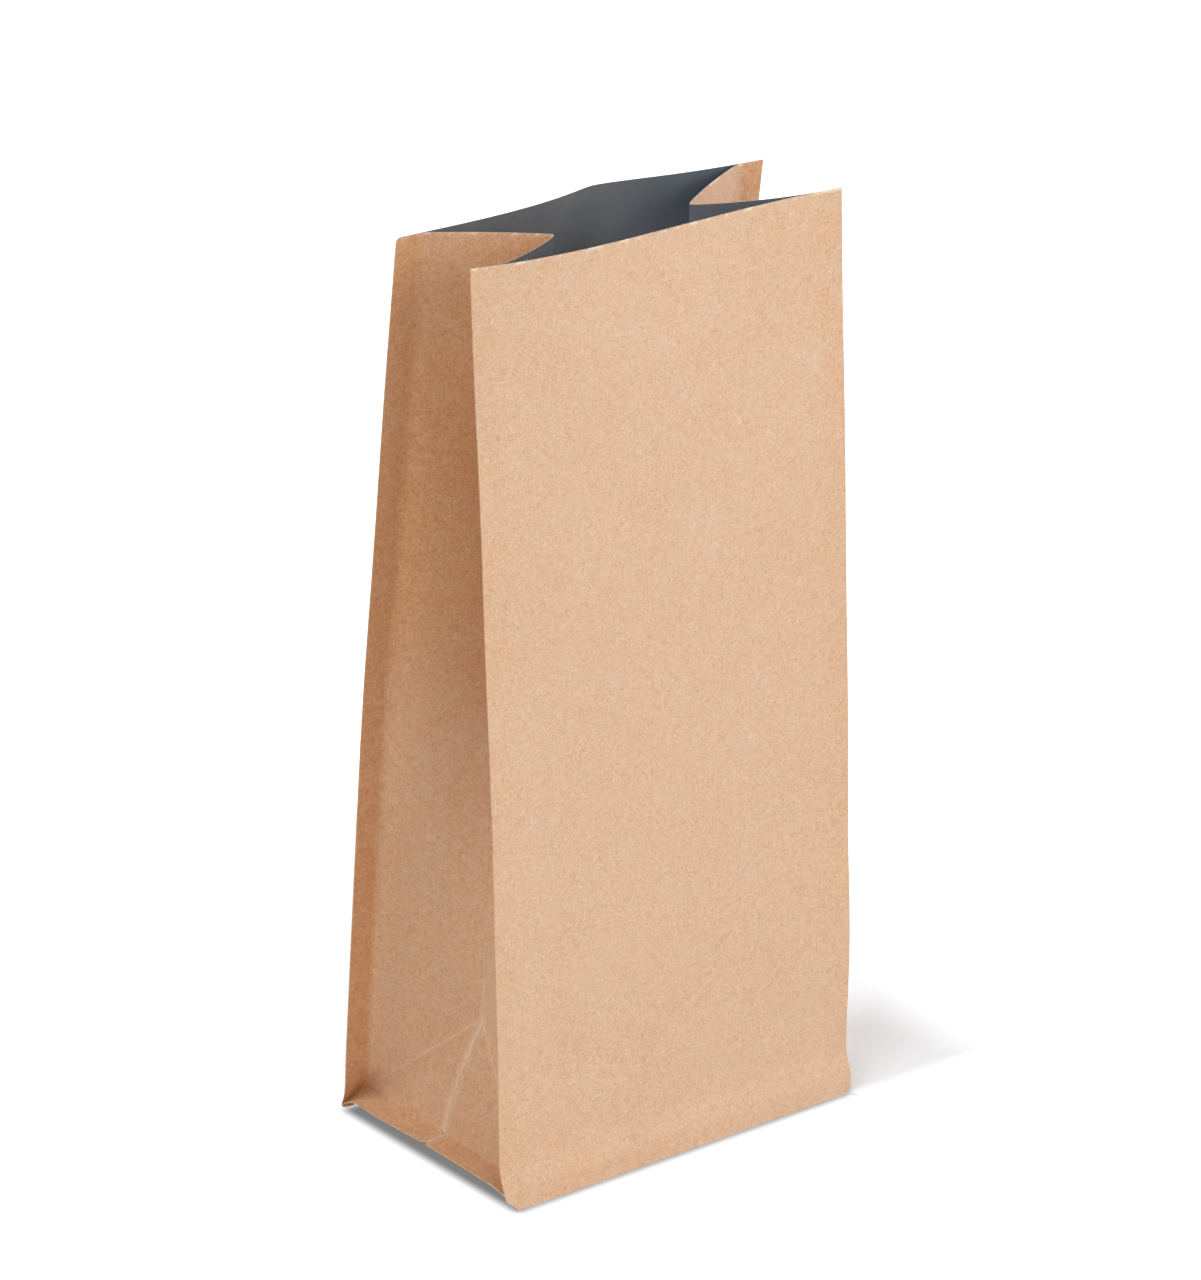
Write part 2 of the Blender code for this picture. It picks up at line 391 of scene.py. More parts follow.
@dataclass(frozen=True)
class Wear:
    """Small bends that handling has left in the finished bag, as moves of its points.

    Every layer of the laminate takes the same move, so the sheets stay together.
    """

    size: BagSize
    curl_drop: float = 0.66
    curl_reach: float = 0.0042
    curl_out: float = 0.0010
    curl_power: float = 1.6
    curl_height: float = 0.0055
    curl_spread: float = 0.0045
    droop: float = 0.20
    droop_y: float = 0.024
    droop_reach: float = 0.015
    front_drop: float = 0.16
    most_drop: float = 0.9
    drop_start: float = 0.001
    drop_fade: float = 0.010
    top_corner: float = 0.0016
    top_reach: float = 0.006
    wave: float = 0.00016
    wave_rise: float = 0.05
    panel_wave: tuple[float, ...] = (71, 23, 1.3, 47, 19, 0.4)
    gusset_wave: tuple[float, ...] = (83, 31, 2.1, 39, 27, 0.0)

    def move(self, grid: Array) -> Array:
        """Moves points of any shape ending in 3.

        Args:
            grid: The points.

        Returns:
            The moved points.
        """
        x, y, z = grid[..., 0], grid[..., 1], grid[..., 2]
        x, y, z = self.wave_sheets(x, y, z)
        x, y, z = self.bend_left_flange(x, y, z)
        z = z - self.corner_drop(x, y, z)
        return np.stack([x, y, z], axis=-1)

    def wave_sheets(self, x: Array, y: Array, z: Array) -> tuple[Array, Array, Array]:
        """Long shallow waves in the panels and gussets, none on the floor.

        Args:
            x: Places of the points across the bag.
            y: Places of the points along its depth.
            z: Heights of the points.

        Returns:
            The moved x, y and z.
        """
        size = self.wave * ramp(z, 0.0, self.wave_rise)
        across = self.slanted_waves(y, z, self.gusset_wave)
        along = self.slanted_waves(x, z, self.panel_wave)
        return x + size * across, y + size * along, z

    def slanted_waves(self, run: Array, z: Array, wave: tuple[float, ...]) -> Array:
        """Two slanted waves that cross, one mostly along the run and one mostly up.

        Args:
            run: Places along the sheet.
            z: Heights of the points.
            wave: Radians in a metre along and up, and the start, of the first wave; the
                same up and along, and the start, of the second.

        Returns:
            The waves' product, from -1 to 1.
        """
        first, slant, start, second, counter, shift = wave
        falling = np.sin(z * second - run * counter + shift)
        return np.sin(run * first + z * slant + start) * falling

    def bend_left_flange(self, x: Array, y: Array, z: Array) -> tuple[Array, Array, Array]:
        """Drooping edge of the left flange, and its end that curls down at the back.

        Args:
            x: Places of the points across the bag.
            y: Places of the points along its depth.
            z: Heights of the points.

        Returns:
            The moved x, y and z.
        """
        outward = ramp(-x, self.size.root_x, self.size.fin_width)
        level = 1 - ramp(z, self.size.lift_front + self.drop_start, self.drop_fade)
        end = self.size.foot_depth / 2
        back, front = (
            np.exp(-(np.maximum(end + away, 0) / self.curl_reach) ** self.curl_power)
            for away in (-y, y)
        )
        sag = self.droop * hump(y - self.droop_y, self.droop_reach)
        lower = outward * (self.curl_drop * back + self.front_drop * front + sag * (1 - back))
        swing = outward * back * self.curl_out * hump(z - self.curl_height, self.curl_spread)
        return x - swing, y, z * (1 - np.minimum(lower, self.most_drop) * level)

    def corner_drop(self, x: Array, y: Array, z: Array) -> Array:
        """How far the worn top corner at the back left is rounded down.

        Args:
            x: Places of the points across the bag.
            y: Places of the points along its depth.
            z: Heights of the points.

        Returns:
            The drop of each point.
        """
        radius = self.top_corner
        edge = np.clip(-x - self.size.width / 2 + radius, 0, radius)
        drop = radius - np.sqrt(radius * radius - edge * edge)
        near = ramp(z, self.size.height - self.top_reach, self.top_reach)
        return np.where(y > 0, drop * near, 0.0)


@dataclass
class SheetBook:
    """Collects the sheets of a shell, and joins them into one closed mesh."""

    points: list = field(default_factory=list)
    faces: list = field(default_factory=list)
    layers: list = field(default_factory=list)
    marks: dict = field(default_factory=lambda: {name: [] for name in PLAIN_MARKS})
    wear: Wear | None = None

    def add_points(self, points: Array, marks: dict) -> int:
        """Adds loose points with their marks.

        Args:
            points: Points, as any shape ending in 3.
            marks: The marks that differ from a plain sheet's, by name.

        Returns:
            The index of the first added point.
        """
        start = sum(len(block) for block in self.points)
        moved = self.wear.move(points) if self.wear else points
        self.points.append(moved.reshape(-1, 3))
        for name, plain in PLAIN_MARKS.items():
            values = np.broadcast_to(marks.get(name, plain), points.shape[:-1])
            self.marks[name].append(values.reshape(-1))
        return start

    def add_sheet(
        self,
        grid: Array,
        layer: Layer,
        turn_at: int | None = None,
        **marks: Array | float,
    ) -> None:
        """Adds a sheet of triangles between rows of points.

        Args:
            grid: Points as rows by columns by 3.
            layer: The finish that the sheet shows.
            turn_at: Column past which the diagonals change hand.
            marks: Marks of the points that differ from a plain sheet's.
        """
        rows, columns = grid.shape[:2]
        start = self.add_points(grid, marks)
        turn = columns if turn_at is None else turn_at
        for row in range(rows - 1):
            for column in range(columns - 1):
                a = start + row * columns + column
                b, d = a + 1, a + columns
                c = d + 1
                if column >= turn:
                    self.faces += [(a, b, d), (b, c, d)]
                else:
                    self.faces += [(a, b, c), (a, c, d)]
        self.layers += [layer.value] * (2 * (rows - 1) * (columns - 1))

    def add_fan(self, points: Array, layer: Layer) -> None:
        """Adds a fan of triangles around the first of its points.

        Args:
            points: The points, in order round the fan.
            layer: The finish that it shows.
        """
        start = self.add_points(points, {})
        count = len(points)
        self.faces += [(start, start + i, start + i + 1) for i in range(1, count - 1)]
        self.layers += [layer.value] * (count - 2)

    def to_mesh(self, name: str, materials: list[bpy.types.Material]) -> bpy.types.Mesh:
        """Joins the sheets into one closed mesh with its faces outward.

        Args:
            name: Name of the mesh.
            materials: The materials, in the order of Layer.

        Returns:
            The finished mesh.
        """
        mesh = bpy.data.meshes.new(name)
        mesh.from_pydata(np.concatenate(self.points).tolist(), [], self.faces)
        mesh.polygons.foreach_set("material_index", self.layers)
        for mark, values in self.marks.items():
            layer = mesh.attributes.new(mark, "FLOAT", "POINT")
            layer.data.foreach_set("value", np.concatenate(values).astype(np.float32))
        shell = bmesh.new()
        shell.from_mesh(mesh)
        bmesh.ops.remove_doubles(shell, verts=shell.verts, dist=MERGE_DISTANCE)
        bmesh.ops.recalc_face_normals(shell, faces=shell.faces)
        for face in shell.faces:
            face.smooth = True
        for edge in shell.edges:
            edge.smooth = edge.calc_face_angle(0.0) < CRISP_ANGLE
        open_edges = sum(1 for edge in shell.edges if not edge.is_manifold)
        shell.to_mesh(mesh)
        shell.free()
        for material in materials:
            mesh.materials.append(material)
        log.info("%s: %d faces, %d open edges", name, len(mesh.polygons), open_edges)
        return mesh


@dataclass(frozen=True)
class Shades:
    """Strength and reach of the marks around the bag: sealed bands, rubbed lines and painted shade.

    A pair is a strength and its reach, or, for a change with height, a start and a reach.
    A triple is a strength and two reaches.
    """

    edge: float = 0.0008
    fin_seal: float = 0.14
    foot_seal: float = 0.10
    foot_top: float = 0.0078
    # Painted shade at the foot of the back left fin's inner face
    fin_root: Span = (0.9, 0.0055)
    fin_edge_seal: float = 0.3
    fin_edge_crease: float = 0.25
    base_seal: float = 0.75
    rim_seal: float = 0.4
    rim_crease: float = 0.8
    # Painted shade at the back and front ends of the flanges
    flange_back: Span = (0.8, 0.004)
    flange_front: Span = (0.45, 0.012)
    flange_slant: float = 0.0011
    root_edge: float = 0.002
    # Painted shade along the left gusset's roots, carried by the sealed mark
    root: Span = (0.5, 0.0035)
    # Heights where the gussets' painted shade, carried by the sealed mark, changes
    high: Span = (0.115, 0.06)
    mouth: Span = (0.225, 0.06)
    # Painted shade by the back root, deep in the left gusset, and inside the triangles
    corner: Triple = (0.7, 0.005, 0.006)
    deep: Span = (0.50, 0.44)
    deep_from: Span = (0.07, 0.09)
    deep_until: Span = (0.205, 0.055)
    inside: Triple = (0.16, 0.06, 0.15)
    centre_climb: float = 0.25
    centre_fade: float = 0.05


@dataclass
class BagShell:
    """The folded and sealed shell of the bag."""

    size: BagSize = field(default_factory=BagSize)
    shades: Shades = field(default_factory=Shades)
    worn_corner: float = 0.0049
    worn_softness: float = 0.0008
    corner: float = 0.0020
    notch_depth: float = 0.0012
    notch_reach: float = 0.011
    root_bend: float = 0.0022
    least_fin: float = 0.0004
    fin_columns: int = 6
    panel_columns: int = 50
    bend_columns: int = 5
    arm_columns: int = 26
    fin_crowding: float = 1.7

    def __post_init__(self) -> None:
        """Sets up the panels and rows that share the bag's sizes."""
        swell = MouthSwell(self.size)
        self.front = FrontPanel(self.size, swell)
        self.back = BackPanel(self.size, swell)
        self.rows = Rows(self.size)
        self.book = SheetBook(wear=Wear(self.size))

    @property
    def seal_x(self) -> float:
        """Half width between the inner ends of the seals, where the gussets start to bend."""
        return self.size.root_x + self.root_bend

    @property
    def inner(self) -> slice:
        """Columns of a panel from one seal to the other."""
        return slice(self.fin_columns, self.fin_columns + self.panel_columns + 1)

    def fin_run(self, side: Side) -> Array:
        """Columns of a panel across one of its fins, from the side edge inward.

        Args:
            side: The fin's side.

        Returns:
            The indexes of the columns.
        """
        columns = np.arange(self.fin_columns + 1)
        last = 2 * self.fin_columns + self.panel_columns
        return columns if side is Side.LEFT else last - columns

    def depth_share(self, line: Array) -> Array:
        """Share of the way from front to back for each point of a line."""
        return (line[:, 1] - line[0, 1]) / (line[-1, 1] - line[0, 1])

    def edge_x(self, side: Side, v: int, z: Array) -> Array:
        """Side edge of the front (v = 0) or back (v = 1) panel, with its bottom corner.

        Args:
            side: Which edge.
            v: Which panel.
            z: Heights above the floor.

        Returns:
            The x of the edge at each height.
        """
        half = self.size.width / 2
        if side is Side.LEFT and v == 0:
            short = self.worn_corner - z
            return -(half - (short + np.hypot(short, self.worn_softness)) / 2)
        drop = np.clip(self.corner - z, 0.0, self.corner)
        return side.value * (half - self.corner + np.sqrt(self.corner**2 - drop * drop))

    def across(self, left: Array, seal_left: Array, seal_right: Array, right: Array) -> Array:
        """Places of the columns across the bag, crowded at its side edges.

        Args:
            left: Left edge of each row.
            seal_left: Inner end of the left seal of each row.
            seal_right: Inner end of the right seal.
            right: Right edge.

        Returns:
            The x of each row and column.
        """
        fin = np.linspace(0, 1, self.fin_columns + 1)[None, :] ** self.fin_crowding
        middle = np.linspace(0, 1, self.panel_columns + 1)[None, 1:]
        left, seal_left, seal_right, right = (
            end[:, None] for end in (left, seal_left, seal_right, right)
        )
        return np.concatenate(
            [
                lerp(left, seal_left, fin),
                lerp(seal_left, seal_right, middle),
                lerp(right, seal_right, fin[:, -2::-1]),
            ],
            axis=1,
        )

    def panel(self, v: int, inset: float) -> Array:
        """Points of the front (v = 0) or back (v = 1) panel.

        Args:
            v: Which panel.
            inset: Distance inward from its outer face.

        Returns:
            Points as rows by columns by 3.
        """
        z = self.rows.level(v)[:, 0]
        left, right = self.edge_x(Side.LEFT, v, z), self.edge_x(Side.RIGHT, v, z)
        seal_left = np.maximum(-self.seal_x, left + self.least_fin)
        seal_right = np.minimum(self.seal_x, right - self.least_fin)
        x = self.across(left, seal_left, seal_right, right)
        z = np.broadcast_to(z[:, None], x.shape)
        y = self.front.y(x, z) + inset if v == 0 else self.back.y(x, z) - inset
        return np.stack([x, y, z], axis=-1)

    def film_panel(self, v: int) -> Array:
        """Film side of the front or back panel, between the seals and above the base.

        Args:
            v: Which panel, 0 for the front and 1 for the back.

        Returns:
            Points as rows by columns by 3.
        """
        film = self.panel(v, self.size.sheet)[self.rows.flange :, self.inner].copy()
        film[0, :, 2] -= self.size.sheet
        return film

    def wall(self, shape: GussetShape, v: Array) -> Array:
        """Paper side of a gusset before its roots are bent round.

        Args:
            shape: The gusset.
            v: Shares of the way from the front root to the back root.

        Returns:
            Points as rows by columns by 3, for every row of the sheets.
        """
        side = shape.side.value
        root = np.array(side * self.size.root_x)
        front = self.front.y(root, self.rows.level(0)) + self.size.seal
        back = self.back.y(root, self.rows.level(1)) - self.size.seal
        v = v[None, :]
        away = 1 - np.abs(2 * v - 1)
        rise, climb = self.rows.rise()[:, None], self.rows.climb()[:, None]
        depth = lerp(shape.apex_depth, shape.tip_depth, 1 - (1 - climb) ** shape.fold_ease)
        roundness = shape.tip_radius * depth / ((back - front) / 2) ** 2
        roundness = np.where(rise < 1, shape.triangle_roundness, roundness)
        soft = np.sqrt((1 - away) ** 2 + roundness**2) - roundness
        arm = 1 - soft / (np.sqrt(1 + roundness**2) - roundness)
        softness = shape.crease_softness * np.sqrt(rise * arm)
        least = (rise + arm - np.sqrt((rise - arm) ** 2 + softness**2)) / 2
        low = shape.apex_depth * least
        blend = np.clip(climb / shape.blend_climb, 0, 1)
        fold = np.where(rise < 1, low, lerp(low, depth * arm, blend))
        ridge = np.where(rise < 1, shape.ridge * 4 * rise * np.maximum(arm - least, 0.0), 0.0)
        lobe = shape.base_lobe * hump(v - shape.base_lobe_share, shape.base_lobe_reach)
        bow = (1 - rise) * (shape.base_bow * arm * (2 - arm) + lobe * (1 - rise) ** 2)
        x = side * (self.size.root_x - fold + ridge + bow)
        tip_y = (front + back) / 2 + shape.tip_backward * climb
        arm_bow = climb * 4 * arm * (1 - arm)
        y_front = lerp(front, tip_y, away) - shape.front_bow * arm_bow
        y_back = lerp(back, tip_y, away) + shape.back_bow * arm_bow
        y = np.where(v < 0.5, y_front, y_back)
        z = self.rows.level(v[0]) - shape.tip_dip * climb**2 * arm
        return np.stack([x, y, z], axis=-1)

    def shares(self, shape: GussetShape) -> Array:
        """Shares of a gusset's wall columns, crowded at the tip fold.

        Args:
            shape: The gusset.

        Returns:
            The shares of the way from the front root to the back root.
        """
        even = np.linspace(0, 1, self.arm_columns + 1)
        arm = lerp(shape.bend_share, 1.0, 1 - (1 - even) ** shape.tip_crowding)
        front = arm / 2
        return np.concatenate([front, 1 - front[-2::-1]])

    def gusset(self, shape: GussetShape) -> Array:
        """Paper side of a gusset with its bent roots, from the flange row up.

        Args:
            shape: The gusset.

        Returns:
            Points as rows by columns by 3.
        """
        column = self.fin_run(shape.side)[-1]
        wall = self.wall(shape, self.shares(shape))
        roots = self.wall(shape, np.array([0.0, 1.0]))
        bends = []
        for v, end in ((0, 0), (1, -1)):
            start = self.panel(v, self.size.seal)[:, column][:, None, :]
            root, stop = roots[:, end][:, None, :], wall[:, end][:, None, :]
            t = np.linspace(0, 1, self.bend_columns + 1)[None, :-1, None]
            bends.append(start * (1 - t) ** 2 + 2 * root * t * (1 - t) + stop * t * t)
        whole = np.concatenate([bends[0], wall, bends[1][:, ::-1]], axis=1)
        return whole[self.rows.flange :]

    def film_gusset(self, shape: GussetShape, paper: Array) -> Array:
        """Film side of a gusset, one sheet inward of its paper side.

        Args:
            shape: The gusset.
            paper: Its paper side.

        Returns:
            Points in the same rows and columns.
        """
        steps = np.diff(paper[..., :2], axis=1)
        steps = steps / np.linalg.norm(steps, axis=-1, keepdims=True)
        facing = np.stack([steps[..., 1], -steps[..., 0]], axis=-1) * -shape.side.value
        before, after = facing[:, :-1], facing[:, 1:]
        dot = np.sum(before * after, axis=-1, keepdims=True)
        film = paper.copy()
        film[:, 1:-1, :2] += (before + after) * self.size.sheet / (1 + dot)
        film[0, :, 2] -= self.size.sheet
        film[:, 0] = self.film_panel(0)[:, shape.side.column]
        film[:, -1] = self.film_panel(1)[:, shape.side.column]
        return film

    def add_panels(self) -> None:
        """Adds the front and back panels, their feet, and the cut edges of both."""
        for v in (0, 1):
            paper = self.panel(v, 0.0)
            foot = self.panel(v, self.size.seal)[: self.rows.flange]
            film = self.film_panel(v)
            seal = self.panel_seal(paper)
            below = self.below_mouth(paper)
            self.book.add_sheet(paper, Layer.PAPER, seal=seal, mouth_depth=below)
            self.book.add_sheet(foot, Layer.PAPER, seal=1.0)
            self.book.add_sheet(film, Layer.FILM)
            self.book.add_sheet(np.stack([paper[0], foot[0]]), Layer.CUT)
            self.book.add_sheet(np.stack([paper[-1, self.inner], film[-1]]), Layer.CUT)

    def below_mouth(self, paper: Array) -> Array:
        """How far each point of a sheet is below the mouth's cut edge."""
        return paper[-1:, :, 2] - paper[..., 2]

    def panel_seal(self, paper: Array) -> Array:
        """Sealed band mark of a panel's outer face: its side fins and its foot.

        Args:
            paper: The outer face.

        Returns:
            The mark of each point.
        """
        shades = self.shades
        fin = ramp(np.abs(paper[..., 0]), self.size.root_x - shades.edge / 2, shades.edge)
        foot = ramp(-paper[..., 2], -shades.foot_top, shades.edge)
        return np.maximum(fin * shades.fin_seal, foot * shades.foot_seal)

    def add_fins(self) -> None:
        """Adds the inner faces, side edges and mouth edges of the four corner fins."""
        shades = self.shades
        for v in (0, 1):
            outer, inner = self.panel(v, 0.0), self.panel(v, self.size.seal)
            film = self.film_panel(v)
            for shape in GUSSETS:
                columns = self.fin_run(shape.side)
                face = inner[self.rows.flange :][:, columns]
                # Painted shade at the foot of the back left fin's inner face
                dim, reach = shades.fin_root
                dim = dim * v * (shape.side is Side.LEFT)
                marks = {
                    "seal": shape.seal_shade,
                    "mouth_depth": self.below_mouth(face),
                    "dim": dim * hump(face[..., 2] - face[:1, :, 2], reach),
                }
                self.book.add_sheet(face, Layer.PAPER, **marks)
                strip = np.stack([outer[:, columns[0]], inner[:, columns[0]]], axis=1)
                seal, crease = shades.fin_edge_seal, shades.fin_edge_crease
                self.book.add_sheet(strip, Layer.PAPER, seal=seal, crease=crease)
                top = np.stack([outer[-1, columns], inner[-1, columns]])
                self.book.add_sheet(top[:, :-1], Layer.CUT)
                film_end = film[-1, shape.side.column]
                corner = [top[0, -2], top[1, -2], top[1, -1], film_end, top[0, -1]]
                self.book.add_fan(np.array(corner), Layer.CUT)

    def flange(self, shape: GussetShape, paper: Array) -> Array:
        """Top of a side flange, from the gusset's foot out to the cut edge.

        Args:
            shape: The gusset above the flange.
            paper: The paper side of that gusset.

        Returns:
            Points as rows from the gusset outward by the gusset's columns by 3.
        """
        side = shape.side
        ends = [self.panel(v, self.size.seal)[self.rows.flange] for v in (0, 1)]
        share = self.depth_share(paper[0])
        edge = lerp(ends[0][side.column], ends[1][side.column], share[:, None])
        edge[1:-1, 0] = side.value * (self.size.width / 2 - self.notch(share[1:-1]))
        across = 1 - np.linspace(1, 0, self.fin_columns + 1)[:, None, None] ** self.fin_crowding
        top = lerp(paper[:1], edge[None], across)
        fins = self.fin_run(side)[::-1]
        top[:, 0], top[:, -1] = ends[0][fins], ends[1][fins]
        return top

    def notch(self, share: Array) -> Array:
        """Depth of the nick in a flange's edge, where its crease runs out."""
        return self.notch_depth * hump(share - 0.5, self.notch_reach)

    def add_gussets(self) -> None:
        """Adds both side gussets, their flanges and the base between them."""
        papers, films, flanges = [], [], []
        for shape in GUSSETS:
            paper = self.gusset(shape)
            film = self.film_gusset(shape, paper)
            middle = paper.shape[1] // 2
            marks = self.gusset_marks(shape, paper)
            self.book.add_sheet(paper, Layer.PAPER, turn_at=middle, **marks)
            self.book.add_sheet(film, Layer.FILM, turn_at=middle)
            self.book.add_sheet(np.stack([paper[-1], film[-1]]), Layer.CUT)
            flange = self.flange(shape, paper)
            marks = self.flange_marks(flange, middle)
            self.book.add_sheet(flange, Layer.PAPER, **marks)
            papers.append(paper)
            films.append(film)
            flanges.append(flange)
        self.add_base(papers, films, flanges)

    def flange_marks(self, flange: Array, middle: int) -> dict[str, Array | float]:
        """Marks of a flange's top, with its crease at the middle column and painted shade at its
        ends.

        Args:
            flange: The flange's top.
            middle: The middle column.

        Returns:
            The marks of its points, by name.
        """
        y = flange[..., 1]
        out = np.linspace(0, 1, len(flange))[:, None]
        # Painted shade at the flange's back and front ends
        back, back_reach = self.shades.flange_back
        front, front_reach = self.shades.flange_front
        back = back * hump(y - y[:1, -1:], back_reach) * (1 - out)
        front = front * hump(y - y[:1, :1], front_reach)
        return {
            "seal": self.shades.base_seal,
            "centre": np.abs(y - y[:1, middle : middle + 1] + self.shades.flange_slant * out),
            "dim": np.maximum(back, front),
        }

    def gusset_marks(self, shape: GussetShape, paper: Array) -> dict[str, Array]:
        """Marks of a gusset's paper side: sealed bends into its fins, and painted shade by height,
        along its roots, at its back corner, deep in the left gusset and inside its triangle.

        Args:
            shape: The gusset.
            paper: Its paper side.

        Returns:
            The marks of its points, by name.
        """
        bend = np.zeros(self.bend_columns)
        v = np.concatenate([bend, self.shares(shape), bend + 1])[None, :]
        arm = 1 - np.abs(2 * v - 1)
        rise = self.rows.rise()[self.rows.flange :][:, None]
        climb = self.rows.climb()[self.rows.flange :][:, None]
        half = np.abs(paper[:, :1, 1] - paper[:, -1:, 1]) / 2
        height = paper[..., 2]
        shades, left = self.shades, shape.side is Side.LEFT
        seal = ramp(np.abs(paper[..., 0]), self.size.root_x, shades.root_edge)
        seal = shape.root_shade * seal
        # Painted shade along the left gusset's roots and by height, carried by the sealed mark
        root = shades.root[0] * left * hump(arm * half, shades.root[1])
        shade = lerp(shape.low_shade, shape.high_shade, ramp(height, *shades.high))
        shade = lerp(shade, shape.mouth_shade, ramp(height, *shades.mouth))
        # Painted shade at the back corner, deep in the left gusset and inside the triangle
        corner, beside, above = shades.corner
        corner = corner * (v > 0.5) * hump(arm * half, beside)
        corner = corner * hump(height - paper[:1, :, 2], above)
        deep = shades.deep[0] * left * ramp(1.0 - v, 0.0, shades.deep[1])
        deep = deep * ramp(height, *shades.deep_from)
        deep = deep * (1 - ramp(height, *shades.deep_until))
        inside, edge, foot = shades.inside
        inside = inside * (rise < 1) * ramp(arm - rise, 0.0, edge) * ramp(rise, 0.0, foot)
        centre = (1 - arm) * half + shades.centre_fade * climb
        return {
            "seal": np.maximum(np.maximum(seal, root), shade),
            "dim": np.maximum(np.maximum(corner, inside), deep),
            "mouth_depth": self.below_mouth(paper),
            "centre": np.where(climb < shades.centre_climb, centre, 1.0),
            "diagonal": np.where(rise < 1, (arm - rise) * self.rows.apex_height, -1.0),
        }

    def add_base(self, papers: list[Array], films: list[Array], flanges: list[Array]) -> None:
        """Adds the base's underside, its film side, and the cut edges of the flanges.

        Args:
            papers: Paper sides of the left and right gussets.
            films: Film sides of the two gussets.
            flanges: Tops of the two flanges.
        """
        shades = self.shades
        share = self.depth_share(papers[0][0])
        ends = [self.panel(v, self.size.seal)[self.rows.foot] for v in (0, 1)]
        under = lerp(ends[0][None], ends[1][None], share[:, None, None])
        x = self.across(
            flanges[0][-1, :, 0], papers[0][0, :, 0], papers[1][0, :, 0], flanges[1][-1, :, 0]
        )
        under[1:-1, :, 0] = x[1:-1]
        self.book.add_sheet(under, Layer.PAPER, seal=shades.base_seal)
        for flange, edge in ((flanges[0], under[:, 0]), (flanges[1], under[:, -1])):
            rim = np.stack([flange[-1], edge])
            seal, crease = shades.rim_seal, shades.rim_crease
            self.book.add_sheet(rim, Layer.PAPER, seal=seal, crease=crease)
        floor = lerp(self.film_panel(0)[0][None], self.film_panel(1)[0][None], share[:, None, None])
        across = np.linspace(0, 1, self.panel_columns + 1)[None, :, None]
        floor[1:-1] = lerp(films[0][0, 1:-1, None], films[1][0, 1:-1, None], across)
        floor[:, 0], floor[:, -1] = films[0][0], films[1][0]
        self.book.add_sheet(floor, Layer.FILM)

    def front_mouth_line(self) -> Array:
        """Middle of the front panel's cut edge, from its left seal to its right edge."""
        edge = self.panel(0, self.size.sheet / 2)[-1, self.fin_columns : -1]
        return self.book.wear.move(edge)

    def build(self, materials: list[bpy.types.Material]) -> bpy.types.Object:
        """Builds the shell as one closed object that replaces the CAD bag.

        Args:
            materials: Paper, film and cut edge, in the order of Layer.

        Returns:
            The bag's object, at the origin.
        """
        self.add_panels()
        self.add_fins()
        self.add_gussets()
        name = "paper_bag_shell"
        return put(name, self.book.to_mesh(name, materials))


@dataclass(frozen=True)
class Noise:
    """One noise pattern, with features of about one over its scale, in metres."""

    scale: float
    detail: float = 2.0
    roughness: float = 0.5
    distortion: float = 0.0


class NodeDesk:
    """Adds and links the nodes of one tree."""

    def __init__(self, tree: bpy.types.NodeTree) -> None:
        """Starts with the tree emptied."""
        self.tree = tree
        tree.nodes.clear()

    def feed(self, target: Socket, value: object) -> None:
        """Links an input to a socket, or sets it to a fixed value.

        Args:
            target: The input.
            value: The socket or the fixed value.
        """
        if isinstance(value, Socket):
            self.tree.links.new(value, target)
        else:
            target.default_value = value

    def add(self, kind: str, *first: object, **others: object) -> bpy.types.Node:
        """Adds a node.

        Args:
            kind: Blender's name of the node type.
            first: Sockets or fixed values for its first inputs, in order.
            others: Settings of the node, or sockets or values for other inputs, by name.

        Returns:
            The node.
        """
        node = self.tree.nodes.new(kind)
        for key, value in others.items():
            if hasattr(node, key):
                setattr(node, key, value)
            else:
                self.feed(node.inputs[key.replace("_", " ").title()], value)
        for target, value in zip(node.inputs, first):
            self.feed(target, value)
        return node

    def math(self, operation: str, *values: Value) -> Socket:
        """A sum on one or two values, which may be sockets or numbers."""
        return self.add("ShaderNodeMath", *values, operation=operation).outputs[0]

    def fold(self, operation: str, *values: Value) -> Socket:
        """The same sum on several values, one after the other."""
        return reduce(lambda total, value: self.math(operation, total, value), values)

    def remap(
        self,
        value: Socket,
        low: float,
        high: float,
        to_low: float = 0.0,
        to_high: float = 1.0,
        smooth: bool = False,
    ) -> Socket:
        """Maps a value from one range to another, and clamps it there.

        Args:
            value: The value.
            low: Start of its range.
            high: End of its range.
            to_low: What the start becomes.
            to_high: What the end becomes.
            smooth: Whether the change eases in and out.

        Returns:
            The mapped value.
        """
        kind = "SMOOTHSTEP" if smooth else "LINEAR"
        ends = (low, high, to_low, to_high)
        node = self.add("ShaderNodeMapRange", value, *ends, interpolation_type=kind)
        return node.outputs["Result"]

    def mix(self, share: Socket, a: Tint, b: Tint, blend: str = "MIX") -> Socket:
        """Mixes two colours, which may be sockets or fixed colours.

        Args:
            share: How much of the second colour shows.
            a: The first colour.
            b: The second colour.
            blend: Blender's name of the way they are mixed.

        Returns:
            The mixed colour.
        """
        node = self.add("ShaderNodeMix", share, data_type="RGBA", blend_type=blend)
        for target, value in zip(node.inputs[6:8], (a, b)):
            self.feed(target, (*value, 1.0) if isinstance(value, tuple) else value)
        return node.outputs[2]


